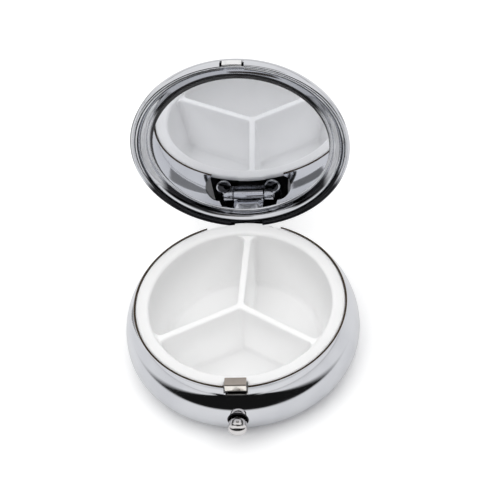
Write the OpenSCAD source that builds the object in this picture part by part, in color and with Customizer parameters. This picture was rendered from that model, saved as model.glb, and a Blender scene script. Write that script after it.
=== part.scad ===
// Round pocket pill case with a push-button latch, a three-way tray and a mirror in its hinged lid.
// Millimetres. The origin is the centre of the base's underside, +Z is up, the hinge is at +Y and
// the button at -Y. The lid is drawn open, as far as its stop.

/* [Base] */
// Height of the rim above the table
base_h = 15.4; // [14:0.1:20]
// Height of the widest ring of the belly
belly_h = 6.9; // [6:0.1:8]
// Radius of the belly's curve, measured outwards
belly_r = 6.9; // [6:0.1:8]
// How far the belly stands out past the rim
belly_out = 2.35; // [2:0.05:3.5]
// Sheet thickness of the base shell
shell_t = 0.4; // [0.3:0.05:0.5]
// Depth of the stiffening groove pressed into the underside
groove_h = 0.4; // [0.2:0.05:0.8]
// Width of that groove
groove_w = 2.4; // [1.6:0.1:4]
// Width of the flat ring outside the groove
foot_w = 2; // [1:0.1:4]

/* [Tray] */
// Diameter over the tray's flange
tray_d = 44.4; // [42:0.1:50]
// Width of the tray's flange
flange_w = 2.85; // [2.4:0.05:4]
// Thickness of the tray's flange
flange_t = 1; // [0.8:0.1:1.4]
// Thickness of the tray's wall
tray_t = 0.9; // [0.6:0.05:1]
// Thickness of the tray's floor
tray_floor_t = 1.1; // [0.8:0.1:2]
// How much the wall draws in from the flange to the floor
tray_draft = 2.35; // [1.5:0.05:3]
// Radius where the wall meets the floor
tray_fillet_r = 0.8; // [0.4:0.1:1.5]
// Number of compartments
tray_cells = 3; // [2:1:5]
// Thickness of a divider
divider_t = 1.5; // [1:0.1:2]
// How far the dividers' tops lie below the flange
divider_drop = 0.8; // [0.4:0.1:2]
// Turn of the dividers from the hinge, in degrees
divider_turn = 2.6; // [-10:0.1:10]

/* [Lid] */
// Height of the closed lid above the base's rim
lid_h = 5.15; // [4.9:0.05:7]
// How far the lid's edge stands out past the base's rim
lid_out = 0.95; // [0.9:0.05:1.2]
// Sheet thickness of the lid shell
lid_t = 0.4; // [0.3:0.05:0.45]
// Radius of the lid's rolled edge
bead_r = 0.57; // [0.52:0.01:0.6]
// Depth of the recess in the lid's top
recess_h = 0.5; // [0.3:0.05:0.6]
// Diameter of the recess in the lid's top
recess_d = 36; // [30:0.5:37]
// How far the lid opens, in degrees
lid_open = 94.3; // [80:0.1:96]

/* [Mirror] */
// Diameter of the mirror that shows
mirror_view_d = 38.54; // [36:0.1:38.8]
// Thickness of the glass
mirror_t = 1; // [0.8:0.1:1.2]
// Depth of the glass inside the closed lid
mirror_h = 1.75; // [1.55:0.05:1.95]
// Width of the bead around the glass
bezel_w = 0.8; // [0.6:0.05:0.9]
// How much of the glass the bead covers at its edge
bezel_cover = 0.33; // [0.2:0.01:0.4]
// Depth of the cove around the bead inside the closed lid
channel_h = 2.25; // [2.15:0.05:2.45]
// Sheet thickness of the mirror's frame
frame_t = 0.3; // [0.2:0.05:0.35]

/* [Button and latch] */
// Height of the button's axis
button_z = 7.4; // [7:0.1:8]
// Diameter of the button's ball end
ball_d = 3.96; // [3.7:0.02:4.2]
// Diameter of the button's stem
stem_d = 3.4; // [3:0.1:3.5]
// How far the ball's centre stands out of the belly
ball_out = 1.4; // [1.3:0.1:3]
// Travel of the button and the latch
press = 0.5; // [0.3:0.05:0.5]
// Width of the latch strip
latch_w = 4.5; // [4:0.1:5]
// Thickness of the latch strip
latch_t = 0.5; // [0.4:0.05:0.55]
// Height of the latch plate's top above the rim
latch_top = 1.1; // [1:0.05:1.15]
// Length of the latch plate over the tray
latch_l = 2; // [1.6:0.05:2]
// Height of the latch's front face
latch_face = 2; // [1.6:0.1:2.4]
// Width of the lid's catch
catch_w = 4.1; // [3:0.1:4.1]
// Wire diameter of the return spring
spring_wire = 0.28; // [0.2:0.01:0.3]
// Turns of the return spring
spring_turns = 2.5; // [2:0.25:3]

/* [Hinge] */
// Distance of the pin below the base's rim
pin_drop = 5.4; // [5.3:0.1:5.8]
// Distance of the pin inside the base's rim
pin_in = 0.6; // [0.4:0.05:0.7]
// Diameter of the hinge pin
pin_d = 1; // [0.8:0.05:1.1]
// Radial clearance of the pin in the lid's knuckle
pin_play = 0.05; // [0.03:0.01:0.08]
// Outer diameter of the lid's knuckle
knuckle_d = 3.1; // [2.8:0.05:3.2]
// Width of the lid's knuckle
knuckle_w = 6.5; // [5.5:0.1:6.8]
// Width of each eye of the base's bracket
eye_w = 1.95; // [1.6:0.05:2.1]
// Sheet thickness of the hinge leaf
leaf_t = 0.4; // [0.3:0.05:0.42]

/* [Hidden] */

// Clearances
gap = 0.3;
fit = 0.05;
touch = 0.02;
over = 1;

// Roundness: sides of a full circle, and steps along a curve of an outline
sides = 96;
small_sides = 32;
steps = 14;
few_steps = 6;

// Radii of the base, from the tray outwards
tray_r = tray_d / 2;
rim_in_r = tray_r + fit;
rim_r = rim_in_r + shell_t;
base_r = rim_r + belly_out;
foot_r = base_r - belly_r;
groove_r = foot_r - foot_w - groove_w / 2;
lip_r = shell_t / 2;
lip_z = base_h - lip_r;

// The upper half of the belly is part of an ellipse that passes through the rim
function shoulder(r, a) = (lip_z - belly_h) / sqrt(1 - pow((r - foot_r) / a, 2));
shoulder_h = shoulder(rim_r, belly_r);
shoulder_in_h = shoulder(rim_in_r, belly_r - shell_t);

// Radii at a height, outside and inside the shell
function shell_at(z, a, up, down) =
    foot_r + a * sqrt(1 - pow((z - belly_h) / (z > belly_h ? up : down), 2));
function shell_out(z) = shell_at(z, belly_r, shoulder_h, belly_h);
function shell_in(z) = shell_at(z, belly_r - shell_t, shoulder_in_h, belly_h - shell_t);

// Tray
tray_top_r = tray_r - flange_w;
tray_floor_r = tray_top_r - tray_draft;
tray_under_z = groove_h + shell_t + touch;
tray_floor_z = tray_under_z + tray_floor_t;
tray_edge_r = 0.4;
divider_round_share = 0.3;
divider_low = tray_under_z + tray_floor_t / 2;
hub_share = 0.9;
hub_drop = 0.7;
hub_r = divider_t * hub_share;
hub_top = base_h - divider_drop - hub_drop;
lug_w = 6;
lug_out = 0.2;

// Lid, drawn closed with its heights counted from the rim
lid_r = rim_r + lid_out;
lid_gap = gap;
bead_z = lid_gap + bead_r;
bead_ring_r = lid_r - bead_r;
corner_share = 1.075;
corner_r = (lid_h - bead_z) * corner_share;
corner_z = lid_h - corner_r;
corner_ring_r = lid_r - corner_r;
recess_r = recess_d / 2;
recess_slope = 0.35;
skin_r = lid_r - lid_t;

// Mirror and frame
mirror_view_r = mirror_view_d / 2;
mirror_r = mirror_view_r + bezel_cover;
bezel_out_r = mirror_view_r + bezel_w;
frame_r = bead_ring_r - bead_r - fit;
frame_low = 2 * lid_gap;
channel_top = channel_h + frame_t;
cove_w = frame_r - frame_t - bezel_out_r;
cove_h = channel_h - frame_low;
pad_side_gap = 0.2;

// Latch
latch_out = 0.25;
latch_y = -(rim_r + latch_out);
nose_z = base_h + latch_top - latch_face;
strip_y = latch_y + latch_t + touch;
strip_below = 3;
strip_low = button_z - strip_below;
jog_h = 0.6;
bend_r = 0.3;
latch_slot_w = latch_w + 2 * gap;
latch_slot_z = nose_z - jog_h;
catch_t = 0.3;
catch_in_r = lid_r - catch_t;
catch_low = lid_gap;
catch_shelf = latch_top + gap;
catch_tab_to = 45;

// Button
ball_r = ball_d / 2;
stem_r = stem_d / 2;
ball_y = -(base_r + ball_out);
collar_play = 0.08;
collar_wall = 0.24;
collar_flange_w = 0.5;
collar_bore_r = stem_r + collar_play;
collar_r = ball_r + collar_wall;
collar_cone_r = ball_r + fit;
collar_front_y = -(base_r + touch);
collar_cone_l = press;
collar_flange_r = collar_r + collar_flange_w;
collar_flange_t = 0.4;
collar_flange_y = 2 * touch
    - min(shell_in(button_z + collar_flange_r), shell_in(button_z - collar_flange_r));
tail_r = 0.6;
head_r = 0.95;
head_t = 0.3;
washer_r = 1.6;
washer_t = 0.3;
washer_y = strip_y + latch_t;
head_y = washer_y + washer_t;

// Latch guide and spring
guide_t = 0.4;
guide_room = 1.5;
guide_y = -(tray_floor_r + tray_t + guide_room);
guide_above = 1.6;
guide_top = button_z + guide_above;
guide_front_y = strip_y - latch_t;
guide_in_w = latch_w + 2 * gap;
spring_r = 1.3;
spring_l = guide_y - guide_t - head_y - 2 * touch;
spring_sides = 8;
spring_rings = 24;

// Hinge
hinge_z = base_h - pin_drop;
hinge_y = rim_r - pin_in;
pin_r = pin_d / 2;
knuckle_r = knuckle_d / 2;
leaf_r = skin_r - fit;
leaf_top = bead_z + leaf_t + bead_r;
leaf_to = 20;
eye_r = knuckle_r - gap;
eye_x = knuckle_w / 2 + gap;
pin_end = 0.3;
pin_l = 2 * (eye_x + eye_w + pin_end);
bracket_t = 0.45;
bracket_y = hinge_y - knuckle_r - gap - bracket_t;
bracket_w = 14.2;
bracket_top = hinge_z + eye_r;
ear_t = 0.4;
ear_r = 1.75;
ear_above = 2.6;
ear_from = -30;
ear_z = hinge_z + ear_above;
ear_x = bracket_w / 2 - ear_r;
slot_below = 1.65;
slot_low = hinge_z - slot_below;
slot_half = knuckle_w / 2 + gap + fit;
slot_step = 0.2;
slot_foot_w = 2.4;
slot_side_w = 3.3;
slot_mouth_w = 4.4;
slot_foot = slot_half + slot_foot_w;
slot_side = slot_half + slot_side_w;
slot_mouth = slot_half + slot_mouth_w;
slot_lobe_r = 2.6;

// An arc of an ellipse as points, for an outline
function arc(x, y, rx, ry, from, to, n) =
    [for (i = [0:n]) let (a = from + (to - from) * i / n) [x + rx * cos(a), y + ry * sin(a)]];

// Outlines are drawn as radius and height, and turned about Z
module turned(points) {
    rotate_extrude($fn = sides) polygon(points);
}

// A block that is centred across X, from y0 to y1 and z0 to z1
module block(w, y0, y1, z0, z1) {
    translate([-w / 2, y0, z0]) cube([w, y1 - y0, z1 - z0]);
}

// An outline in Y and Z, made w wide and centred across X
module strip(w, points) {
    translate([-w / 2, 0, 0]) rotate([90, 0, 90]) linear_extrude(w) polygon(points);
}

// A round bar along Y from y0 to y1, on the button's axis
module bar(r0, r1, y0, y1) {
    translate([0, y1, button_z]) rotate([90, 0, 0])
        cylinder(r1 = r1, r2 = r0, h = y1 - y0, $fn = 2 * small_sides);
}

// A round bar along X on the hinge's axis, from x0 to x1
module hinge_bar(r, x0, x1) {
    translate([x0, hinge_y, hinge_z]) rotate([0, 90, 0])
        cylinder(r = r, h = x1 - x0, $fn = 2 * small_sides);
}

// Everything inside the shell, for trimming what is welded to it
module shell_room(clear) {
    a = belly_r - shell_t - clear;
    turned(concat(
        [[0, base_h], [0, shell_t + clear]],
        arc(foot_r, belly_h, a, belly_h - shell_t - clear, -90, 0, steps),
        [for (i = [1:steps]) let (z = belly_h + (base_h - belly_h) * i / steps)
            [foot_r + a * sqrt(1 - pow((z - belly_h) / shoulder_in_h, 2)), z]]
    ));
}

// The opening in the back of the shell: a mouth, two lobes beside the ears and a step under the leaf
module hinge_slot() {
    outline = [
        [-slot_mouth, base_h + over], [-slot_mouth, ear_z], [-slot_side, ear_z - slot_lobe_r / 2],
        [-slot_foot, slot_low + slot_step], [-slot_half, slot_low], [slot_half, slot_low],
        [slot_foot, slot_low + slot_step], [slot_side, ear_z - slot_lobe_r / 2],
        [slot_mouth, ear_z], [slot_mouth, base_h + over]
    ];
    translate([0, base_r + over, 0]) rotate([90, 0, 0]) linear_extrude(base_r - bracket_y) {
        polygon(outline);
        for (side = [-1, 1])
            translate([side * slot_side, ear_z]) circle(r = slot_lobe_r, $fn = sides);
    }
}

module base_shell() {
    in_r = belly_r - shell_t;
    up = acos((rim_r - foot_r) / belly_r);
    up_in = acos((rim_in_r - foot_r) / in_r);
    color("silver") difference() {
        turned(concat(
            [[0, 0]], arc(groove_r, 0, groove_w / 2, groove_h, 180, 0, few_steps),
            arc(foot_r, belly_h, belly_r, belly_h, -90, 0, steps),
            arc(foot_r, belly_h, belly_r, shoulder_h, up / steps, up - up / steps, steps),
            arc(rim_in_r + lip_r, lip_z, lip_r, lip_r, 0, 180, few_steps),
            arc(foot_r, belly_h, in_r, shoulder_in_h, up_in - up_in / steps, up_in / steps, steps),
            arc(foot_r, belly_h, in_r, belly_h - shell_t, 0, -90, steps),
            arc(groove_r, shell_t, groove_w / 2 + shell_t, groove_h, 0, 180, few_steps), [[0, shell_t]]
        ));
        block(latch_slot_w, -base_r, -tray_r + latch_t, latch_slot_z, base_h + over);
        bar(collar_r + touch, collar_r + touch, -base_r - over, -foot_r);
        hinge_slot();
    }
}

// A wall from the middle of the tray out to its rim, with a rounded top
module divider() {
    top = base_h - divider_drop;
    r = divider_t * divider_round_share;
    outline = concat(
        [[-divider_t / 2, divider_low], [divider_t / 2, divider_low]],
        arc(divider_t / 2 - r, top - r, r, r, 0, 90, few_steps),
        arc(-divider_t / 2 + r, top - r, r, r, 90, 180, few_steps)
    );
    rotate([90, 0, 180]) linear_extrude(tray_top_r + tray_t) polygon(outline);
}

module pill_tray() {
    lip = tray_edge_r;
    low_r = tray_fillet_r;
    color("white") union() {
        difference() {
            union() {
                turned(concat(
                    [[0, tray_under_z]], [[tray_floor_r + tray_t, tray_under_z]],
                    [[tray_top_r + tray_t, base_h - flange_t]], [[tray_r, base_h - flange_t]],
                    arc(tray_r - lip, base_h - lip, lip, lip, 0, 90, few_steps),
                    [[0, base_h]]
                ));
                rotate([0, 0, -divider_turn]) intersection() {
                    cylinder(r = tray_r + lug_out, h = base_h, $fn = sides);
                    block(lug_w, tray_top_r + tray_t, base_r, base_h - flange_t, base_h);
                }
            }
            turned(concat(
                [[0, tray_floor_z]],
                arc(tray_floor_r - low_r, tray_floor_z + low_r, low_r, low_r, -90, 0, few_steps),
                [[tray_top_r, base_h - lip], [0, base_h - lip]]
            ));
            turned(concat(
                [[0, base_h + over]], [[0, base_h - lip]], [[tray_top_r, base_h - lip]],
                arc(tray_top_r + lip, base_h - lip, lip, lip, 180 - 90 / few_steps, 90, few_steps - 1),
                [[tray_top_r + lip, base_h + over]]
            ));
            block(latch_slot_w, -tray_r - over, strip_y + latch_t + press + gap, 0, base_h + over);
        }
        intersection() {
            translate([0, 0, divider_low - over])
                cylinder(r1 = tray_floor_r + tray_t / 2, r2 = tray_top_r + tray_t / 2,
                    h = base_h - divider_low + over, $fn = sides);
            union() {
                for (k = [0:tray_cells - 1])
                    rotate([0, 0, 360 * k / tray_cells - divider_turn]) divider();
                translate([0, 0, divider_low])
                    cylinder(r = hub_r, h = hub_top - divider_low, $fn = small_sides);
            }
        }
    }
}

// Plate, two eyes on the pin and two rounded ears beside the lid's knuckle
module hinge_bracket() {
    ear = concat(
        [[eye_x, hinge_z]], [[eye_x + eye_w, hinge_z]],
        arc(ear_x, ear_z, ear_r, ear_r, ear_from, 180, 2 * few_steps)
    );
    color("dimgray") difference() {
        union() {
            intersection() {
                block(bracket_w, bracket_y, bracket_y + bracket_t, 0, bracket_top);
                shell_room(touch);
            }
            for (side = [0, 1]) mirror([side, 0, 0]) {
                hinge_bar(eye_r, eye_x, eye_x + eye_w);
                translate([eye_x, bracket_y, hinge_z - bracket_t / 2])
                    cube([eye_w, hinge_y - bracket_y, bracket_t]);
                translate([0, hinge_y + ear_t / 2, 0]) rotate([90, 0, 0])
                    linear_extrude(ear_t) polygon(ear);
            }
        }
        hinge_bar(pin_r + touch / 2, -pin_l, pin_l);
    }
}

module hinge_pin() {
    color("gray") hinge_bar(pin_r, -pin_l / 2, pin_l / 2);
}

// Eyelet in the shell's hole, coned at the front for the ball
module button_collar() {
    color("dimgray") difference() {
        union() {
            bar(collar_r, collar_r, collar_front_y, collar_flange_y + collar_flange_t);
            bar(collar_flange_r, collar_flange_r, collar_flange_y, collar_flange_y + collar_flange_t);
        }
        bar(collar_bore_r, collar_bore_r, collar_front_y - over, collar_flange_y + collar_flange_t + over);
        bar(collar_cone_r, collar_bore_r, collar_front_y, collar_front_y + collar_cone_l);
    }
}

// Channel that stands on the shell, with cheeks beside the strip and a back for the spring
module latch_guide() {
    color("gray") intersection() {
        shell_room(touch);
        difference() {
            block(guide_in_w + 2 * guide_t, guide_front_y, guide_y, 0, guide_top);
            block(guide_in_w, guide_front_y - over, guide_y - guide_t, strip_low - gap, guide_top + over);
            block(guide_in_w, guide_front_y - over, guide_y - guide_t, -over, strip_low - gap - guide_t);
        }
    }
}

// Helix of the return spring about the button's axis
function spring_point(turn, a) =
    let (b = 360 * turn, r = spring_r + spring_wire / 2 * cos(a))
    [r * cos(b), spring_wire / 2 * sin(a), r * sin(b)];

module return_spring() {
    rings = ceil(spring_turns * spring_rings);
    rise = spring_l - spring_wire;
    points = [for (i = [0:rings], k = [0:spring_sides - 1])
        spring_point(spring_turns * i / rings, 360 * k / spring_sides) + [0, rise * i / rings, 0]];
    walls = [for (i = [0:rings - 1], k = [0:spring_sides - 1])
        let (n = (k + 1) % spring_sides, a = i * spring_sides, b = a + spring_sides)
        each [[a + k, b + n, a + n], [a + k, b + k, b + n]]];
    caps = [[for (k = [0:spring_sides - 1]) k],
        [for (k = [0:spring_sides - 1]) rings * spring_sides + spring_sides - 1 - k]];
    color("lightgray") translate([0, head_y + touch + spring_wire / 2, button_z])
        polyhedron(points, concat(walls, caps), convexity = few_steps);
}

// Bent strip: a straight part in the guide, a jog out to the front face and the plate over the tray
module latch_strip() {
    top = base_h + latch_top;
    color("tan") difference() {
        strip(latch_w, concat(
            [[strip_y, strip_low]], [[strip_y, nose_z - jog_h]], [[latch_y, nose_z]],
            arc(latch_y + bend_r, top - bend_r, bend_r, bend_r, 180, 90, few_steps),
            [[latch_y + latch_l, top]], [[latch_y + latch_l, top - latch_t]],
            [[latch_y + latch_t, top - latch_t]], [[latch_y + latch_t, nose_z]],
            [[strip_y + latch_t, nose_z - jog_h]], [[strip_y + latch_t, strip_low]]
        ));
        bar(tail_r + touch, tail_r + touch, strip_y - over, strip_y + latch_t + over);
    }
}

module push_button() {
    color("silver") union() {
        translate([0, ball_y, button_z]) sphere(r = ball_r, $fn = 2 * small_sides);
        bar(stem_r, stem_r, ball_y, strip_y);
        bar(tail_r, tail_r, strip_y, head_y + head_t);
        bar(head_r, head_r, head_y, head_y + head_t);
    }
}

module rivet_washer() {
    color("gray") difference() {
        bar(washer_r, washer_r, washer_y, washer_y + washer_t);
        bar(tail_r + touch, tail_r + touch, washer_y - over, washer_y + washer_t + over);
    }
}

// The lid's pieces are drawn closed, with heights from the rim, and turned open about the pin
module opened() {
    translate([0, hinge_y, hinge_z]) rotate([-lid_open, 0, 0]) translate([0, -hinge_y, base_h - hinge_z])
        children();
}

module lid_shell() {
    up = asin((bead_z - corner_z) / corner_r);
    in_r = corner_r - lid_t;
    color("silver") opened() difference() {
        union() {
            turned(concat(
                [[skin_r, bead_z]], arc(corner_ring_r, corner_z, corner_r, corner_r, up, 90, steps),
                [[recess_r + recess_slope, lid_h]], [[recess_r, lid_h - recess_h]], [[0, lid_h - recess_h]],
                [[0, lid_h - recess_h - lid_t]], [[recess_r, lid_h - recess_h - lid_t]],
                [[recess_r + recess_slope, lid_h - lid_t]],
                arc(corner_ring_r, corner_z, in_r, in_r, 90, up, steps)
            ));
            rotate_extrude($fn = sides)
                translate([bead_ring_r, bead_z]) circle(r = bead_r, $fn = small_sides);
        }
        // Room for the latch, the catch's slot, and room for the hinge leaf
        intersection() {
            cylinder(r = skin_r, h = catch_shelf + over, $fn = sides);
            block(latch_slot_w, -lid_r, -foot_r, 0, catch_shelf + leaf_t);
        }
        block(latch_slot_w, -lid_r - over, -bead_ring_r, 0, catch_shelf + leaf_t);
        intersection() {
            cylinder(r = skin_r, h = leaf_top, $fn = sides);
            block(knuckle_w + 2 * gap, foot_r, lid_r, 0, leaf_top);
        }
    }
}

// Bent plate: the tongue in the slot, a shelf over the latch and a tab up inside the lid's wall
module lid_catch() {
    out_r = corner_r - lid_t - touch;
    in_r = out_r - frame_t;
    from = asin((catch_shelf - corner_z) / in_r);
    color("silver") opened() intersection() {
        block(catch_w, -lid_r - over, -foot_r, 0, lid_h);
        union() {
            turned([
                [catch_in_r, catch_low], [lid_r, catch_low], [lid_r, catch_shelf + frame_t],
                [skin_r - lid_t, catch_shelf + frame_t], [skin_r - lid_t, catch_shelf],
                [catch_in_r, catch_shelf]
            ]);
            turned(concat(
                arc(corner_ring_r, corner_z, out_r, out_r, from, catch_tab_to, few_steps),
                arc(corner_ring_r, corner_z, in_r, in_r, catch_tab_to, from, few_steps)
            ));
        }
    }
}

// Ring with a cove that turns in from the lid's edge, and a bead over the edge of the glass
module mirror_frame() {
    r = bezel_w / 2;
    mid_r = mirror_view_r + r;
    low = mirror_h - frame_t;
    color("gainsboro") opened() difference() {
        turned(concat(
            arc(bezel_out_r, frame_low, cove_w + frame_t, cove_h + frame_t, 0, 90, steps),
            [[mirror_r + fit, channel_top]], [[mirror_r + fit, mirror_h - touch]],
            [[mirror_view_r, mirror_h - touch]],
            arc(mid_r, low + r, r, r, 180, 360, 2 * few_steps),
            arc(bezel_out_r, frame_low, cove_w, cove_h, 90, 0, steps)
        ));
        block(latch_slot_w, -lid_r, -bezel_out_r - gap, 0, catch_shelf);
    }
}

module mirror_glass() {
    color("lightsteelblue") opened() translate([0, 0, mirror_h])
        cylinder(r = mirror_r, h = mirror_t, $fn = sides);
}

module mirror_pad() {
    low = mirror_h + mirror_t;
    color("dimgray") opened() translate([0, 0, low])
        cylinder(r = recess_r - pad_side_gap, h = lid_h - recess_h - lid_t - low, $fn = sides);
}

// Knuckle on the pin, a leg up into the lid and its end laid against the lid's wall
module lid_hinge_leaf() {
    out_r = corner_r - lid_t - fit;
    in_r = out_r - leaf_t;
    low = hinge_z - base_h;
    color("silver") opened() difference() {
        union() {
            translate([-knuckle_w / 2, hinge_y, low]) rotate([0, 90, 0])
                cylinder(r = knuckle_r, h = knuckle_w, $fn = 2 * small_sides);
            intersection() {
                block(knuckle_w, foot_r, lid_r + over, low, lid_h);
                turned(concat(
                    [[leaf_r - leaf_t, low + knuckle_r / 2]], [[leaf_r, low + knuckle_r / 2]],
                    arc(corner_ring_r, corner_z, out_r, out_r, 0, leaf_to, few_steps),
                    arc(corner_ring_r, corner_z, in_r, in_r, leaf_to, 0, few_steps)
                ));
            }
        }
        translate([-knuckle_w, hinge_y, low]) rotate([0, 90, 0])
            cylinder(r = pin_r + pin_play, h = 2 * knuckle_w, $fn = 2 * small_sides);
    }
}

base_shell();
pill_tray();
hinge_bracket();
hinge_pin();
button_collar();
latch_guide();
return_spring();
latch_strip();
push_button();
rivet_washer();
lid_shell();
lid_catch();
mirror_frame();
mirror_glass();
mirror_pad();
lid_hinge_leaf();
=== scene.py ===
import math

import bmesh
import bpy
import numpy as np
from bpy.props import FloatProperty, FloatVectorProperty, IntProperty, PointerProperty
from mathutils import Matrix, Vector


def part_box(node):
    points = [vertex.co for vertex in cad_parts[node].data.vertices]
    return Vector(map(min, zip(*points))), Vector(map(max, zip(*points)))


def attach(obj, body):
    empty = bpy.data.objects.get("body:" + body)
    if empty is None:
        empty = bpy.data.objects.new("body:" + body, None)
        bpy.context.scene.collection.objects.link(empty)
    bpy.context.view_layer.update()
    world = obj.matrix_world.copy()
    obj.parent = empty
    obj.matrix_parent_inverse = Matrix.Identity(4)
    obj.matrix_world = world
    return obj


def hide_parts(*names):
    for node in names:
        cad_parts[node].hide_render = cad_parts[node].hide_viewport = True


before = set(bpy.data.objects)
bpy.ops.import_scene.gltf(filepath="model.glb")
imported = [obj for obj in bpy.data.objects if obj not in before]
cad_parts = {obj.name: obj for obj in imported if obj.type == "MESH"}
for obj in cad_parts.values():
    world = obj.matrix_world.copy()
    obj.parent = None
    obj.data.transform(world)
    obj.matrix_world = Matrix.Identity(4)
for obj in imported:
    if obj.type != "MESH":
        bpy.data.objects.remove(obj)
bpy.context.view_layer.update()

bl_info = {
    "name": "Pocket pill case",
    "version": (1, 0, 0),
    "blender": (4, 5, 0),
    "location": "3D View > Sidebar > Pill case",
    "description": "Dresses a round pill case with a divided tray and a mirror lid, and sets its stage",
    "category": "Object",
}

MM = 0.001
BASE, LATCH, LID = "base", "latch", "lid"

# Points closer than these are one point, in metres
MERGED, REPEATED, SPLIT_IN_THE_SOLID = 1e-6, 2e-6, 5e-6

# Overrun of a cutter, and the depth of one that goes through a wall
OVER, DEEP = 1 * MM, 8 * MM

# Sides of the turned forms: the shells, the tray and the frame, then the glass, then the small ones
SIDES, GLASS_SIDES, SMALL_SIDES = 320, 256, 96

FINISH = {}


def title(words):
    """A panel's name for a value, from its description."""
    return words[0].upper() + words[1:].split(",")[0]


def length(words, millimetres):
    """A size that the panel shows, kept in metres."""
    return FloatProperty(
        name=title(words), description=words, default=millimetres * MM, unit="LENGTH", precision=5
    )


def angle(words, degrees):
    """An angle that the panel shows in degrees."""
    return FloatProperty(name=title(words), description=words, default=math.radians(degrees), subtype="ANGLE")


def factor(words, value, least=0.0, most=1.0):
    """A plain number that the panel shows."""
    return FloatProperty(name=title(words), description=words, default=value, min=least, max=most)


def colour(words, red, green, blue):
    """A colour that the panel shows, in linear light."""
    return FloatVectorProperty(
        name=title(words), description=words, default=(red, green, blue), subtype="COLOR", min=0, max=1
    )


class CaseSizes(bpy.types.PropertyGroup):
    """Sizes of the case.

    They are the solid model's, apart from tray_fillet and tray_mouth, which are larger here, and
    divider_corner, divider_draft, divider_fillet, dome_depth and the silvering, which only this model has.
    The silvering's sizes place a painted shade on the glass.
    """

    base_height: length("height of the rim above the table", 15.4)
    belly_height: length("height of the belly's widest ring", 6.9)
    belly_radius: length("radius of the belly's curve", 6.9)
    belly_out: length("overhang of the belly past the rim", 2.35)
    sheet: length("sheet thickness of the shells", 0.4)
    groove_height: length("depth of the groove in the underside", 0.4)
    groove_width: length("width of the groove in the underside", 2.4)
    foot_width: length("width of the flat ring outside the groove", 2)
    tray_diameter: length("diameter over the tray's flange", 44.4)
    flange_width: length("width of the tray's flange", 2.85)
    flange_thickness: length("thickness of the tray's flange", 1)
    tray_wall: length("thickness of the tray's wall", 0.9)
    tray_floor: length("thickness of the tray's floor", 1.1)
    tray_draft: length("how much the tray's wall draws in", 2.35)
    tray_fillet: length("radius where the tray's wall meets its floor", 1.3)
    tray_edge: length("radius of the tray's edges", 0.4)
    tray_mouth: length("radius of the edge where the flange meets the wall", 0.8)
    divider_thickness: length("thickness of a divider", 1.5)
    divider_drop: length("depth of the dividers below the flange", 0.8)
    divider_corner: length("radius of the corners that the dividers make", 1.1)
    divider_draft: length("how much each side of a divider leans out to the floor", 0.25)
    divider_fillet: length("radius where the dividers meet the floor", 1)
    lid_height: length("height of the closed lid above the rim", 5.15)
    lid_out: length("overhang of the lid past the rim", 0.95)
    bead_radius: length("radius of the lid's rolled edge", 0.57)
    recess_depth: length("depth of the recess in the lid's top", 0.5)
    recess_diameter: length("diameter of the recess in the lid's top", 36)
    mirror_diameter: length("diameter of the mirror that shows", 38.54)
    mirror_thickness: length("thickness of the glass", 1)
    # The silvering's sizes say where the glass is painted dark, as shade of a gap by the bead
    silver_diameter: length("diameter of the mirror's silvering", 38)
    silver_across: length("offset of the silvering to the right", 0.15)
    silver_down: length("offset of the silvering to the hinge", 0.5)
    mirror_depth: length("depth of the glass inside the lid", 1.75)
    bezel_width: length("width of the bead around the glass", 0.8)
    bezel_cover: length("cover of the bead over the glass", 0.33)
    channel_depth: length("depth of the cove around the bezel", 2.25)
    frame_sheet: length("sheet thickness of the mirror's frame", 0.3)
    button_height: length("height of the button's axis", 7.4)
    ball_diameter: length("diameter of the button's ball", 3.96)
    dome_depth: factor("depth of the button's dome in radii", 0.6, 0.2)
    stem_diameter: length("diameter of the button's stem", 3.4)
    ball_out: length("how far the ball's centre stands out", 1.4)
    press: length("stroke of the button", 0.5)
    latch_width: length("width of the latch strip", 4.5)
    latch_sheet: length("thickness of the latch strip", 0.5)
    latch_top: length("height of the latch plate above the rim", 1.1)
    latch_length: length("length of the latch plate", 2)
    latch_face: length("height of the latch's front face", 2)
    knuckle_width: length("width of the lid's knuckle", 6.5)
    pin_drop: length("distance of the hinge pin below the rim", 5.4)
    pin_in: length("distance of the hinge pin inside the rim", 0.6)
    ear_apart: length("distance of each ear of the hinge from the middle", 5.35)
    ear_above: length("height of the ears of the hinge above the pin", 2.6)
    ear_radius: length("radius of the ears of the hinge", 1.75)
    play: length("play between moving pieces", 0.3)
    fit: length("play between fitted pieces", 0.05)
    touch: length("room between pieces that touch", 0.02)
    cells: IntProperty(name="Compartments", description="Number of compartments", default=3, min=2, max=5)
    divider_turn: angle("turn of the dividers from the hinge", 2.6)
    lid_angle: angle("angle of the open lid", 94.3)


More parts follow.
